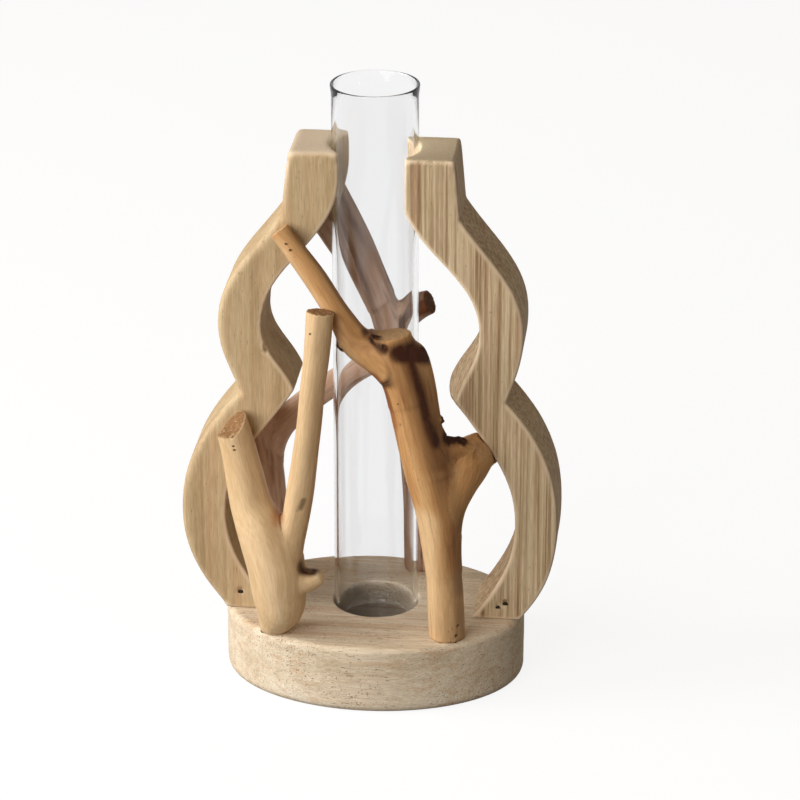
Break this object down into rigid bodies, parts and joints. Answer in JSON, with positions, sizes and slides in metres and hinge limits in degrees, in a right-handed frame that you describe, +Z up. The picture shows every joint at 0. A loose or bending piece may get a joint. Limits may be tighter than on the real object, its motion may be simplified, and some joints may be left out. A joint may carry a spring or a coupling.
{
  "type": "wooden vase with glass tube",
  "caption": "Free-standing flower vase: a glass tube stands in an oval wooden base, held between two gourd-shaped cut-out boards with natural forked branches nailed round it.",
  "frame": {"origin": "on the axis of the glass tube, at the underside of the base", "axes": "+Z up along the tube, +X to the right and +Y to the rear as seen in the picture"},
  "size_m": [0.1332, 0.0796, 0.2184],
  "materials": {
    "base_wood": "sanded pale hardwood, open pores on the sawn side, no varnish",
    "board_wood": "planed and sanded pale hardwood with straight upright grain, no varnish",
    "pale_branch": "barked and polished branch wood, satin",
    "brown_branch": "barked and polished branch wood with dark bark left in the crotches, satin",
    "grey_branch": "barked weathered branch wood, satin",
    "clear_glass": "clear, fire-polished rim",
    "brad_steel": "bare drawn wire, slightly dulled"
  },
  "bodies": {
    "stand": {"base_oval": "base_wood", "left_board": "board_wood", "right_board": "board_wood", "front_left_fork": "pale_branch", "front_right_branch": "brown_branch", "rear_right_branch": "grey_branch", "rear_left_fork": "grey_branch", "left_board_front_brad": "brad_steel", "left_board_rear_brad": "brad_steel", "right_board_front_brad_1": "brad_steel", "right_board_front_brad_2": "brad_steel", "right_board_rear_brad": "brad_steel", "fork_foot_brad": "brad_steel", "fork_prong_brad_1": "brad_steel", "fork_prong_brad_2": "brad_steel", "fork_tip_brad": "brad_steel", "branch_foot_brad_1": "brad_steel", "branch_foot_brad_2": "brad_steel", "branch_limb_brad_1": "brad_steel", "branch_limb_brad_2": "brad_steel", "branch_side_brad": "brad_steel", "rear_branch_foot_brad_1": "brad_steel", "rear_branch_foot_brad_2": "brad_steel", "rear_branch_top_brad": "brad_steel", "rear_branch_prong_brad": "brad_steel", "rear_fork_foot_brad": "brad_steel", "rear_fork_top_brad": "brad_steel", "rear_fork_limb_brad": "brad_steel"},
    "tube": {"glass_tube": "clear_glass"}
  },
  "joints": [
    {"name": "tube_lift", "type": "slide", "parent": "stand", "child": "tube", "axis": [0, 0, 1], "range_m": [0, 0.19]}
  ]
}
